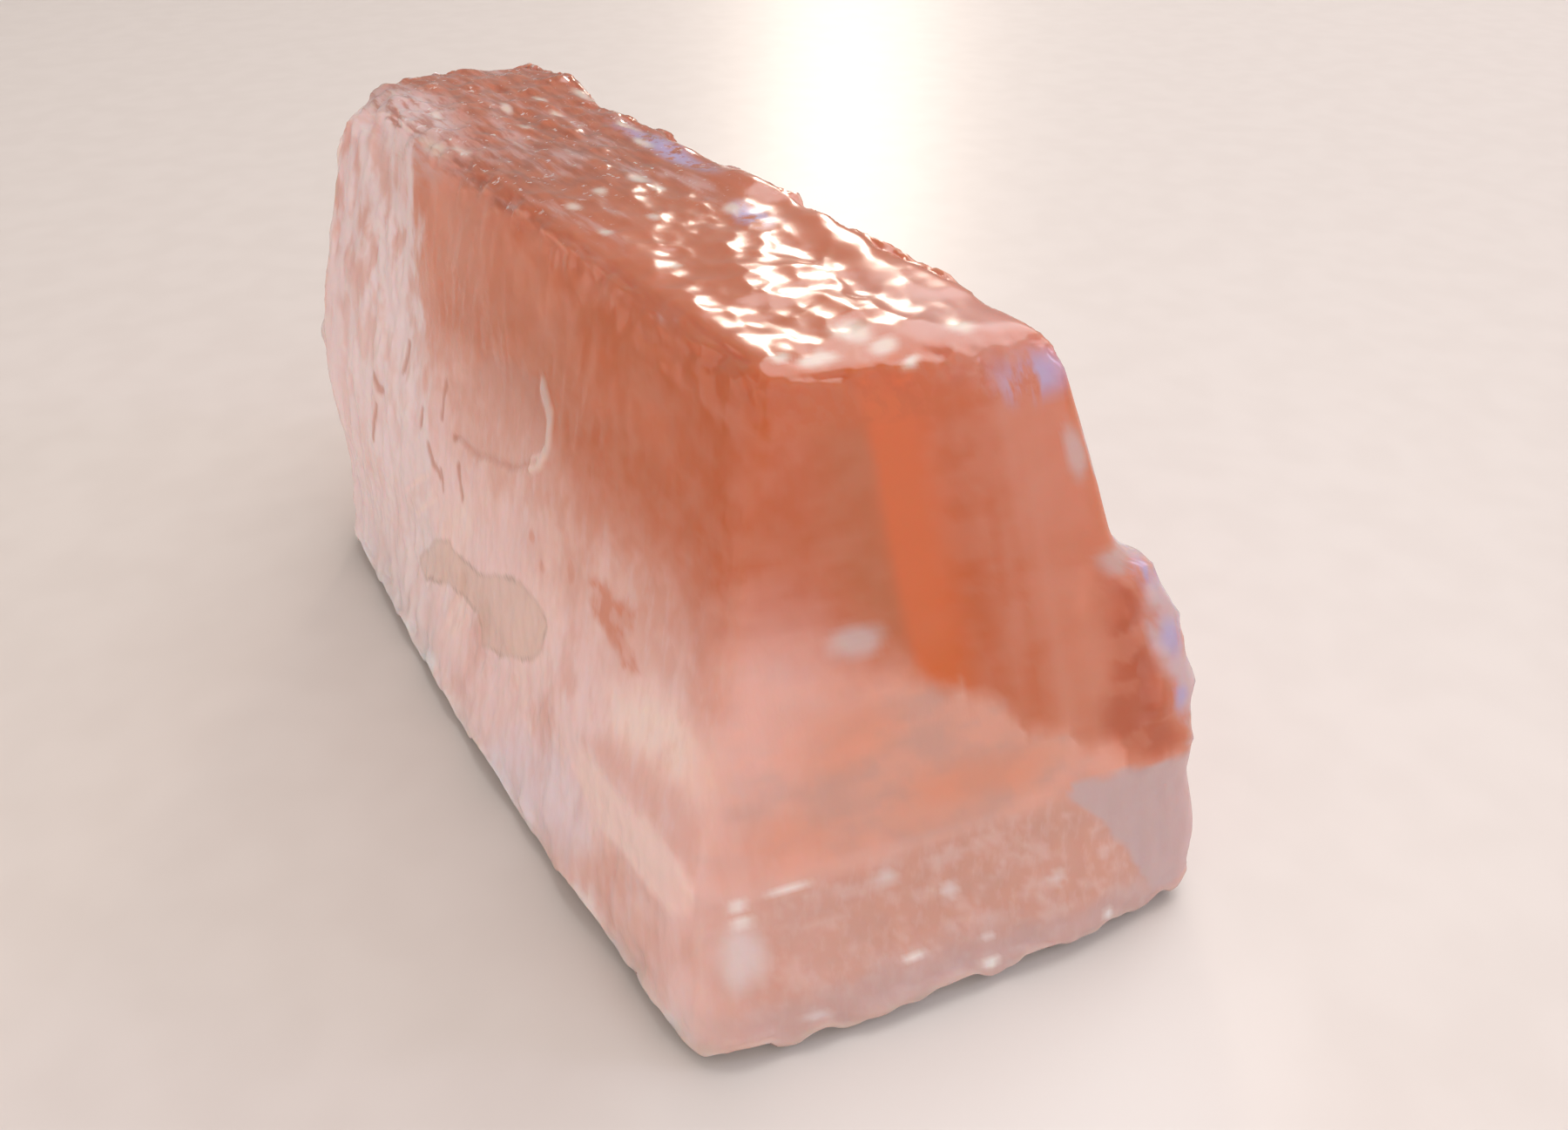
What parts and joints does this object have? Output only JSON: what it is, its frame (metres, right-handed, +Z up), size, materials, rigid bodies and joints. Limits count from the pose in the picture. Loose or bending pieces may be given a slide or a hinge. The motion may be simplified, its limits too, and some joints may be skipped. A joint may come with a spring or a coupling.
{
  "type": "polished calcite block",
  "caption": "Leaning rhomb-shaped block of polished pink calcite with softened edges, a dimpled narrow top, a stepped broken side and a flat base that it rests on.",
  "frame": {"origin": "middle of the footprint box, on the surface that the block rests on", "axes": "+Z up; +Y along the block, from the near end that leans back to the far end that overhangs; +X across the block, from the smooth left face to the broken ledge side"},
  "size_m": [0.0548, 0.1252, 0.0532],
  "materials": {
    "pink_calcite": "glossy, acid-polished, translucent salmon pink to orange calcite with milky paler zones and etched dimples"
  },
  "bodies": {
    "root": {"calcite_block": "pink_calcite"}
  },
  "joints": []
}
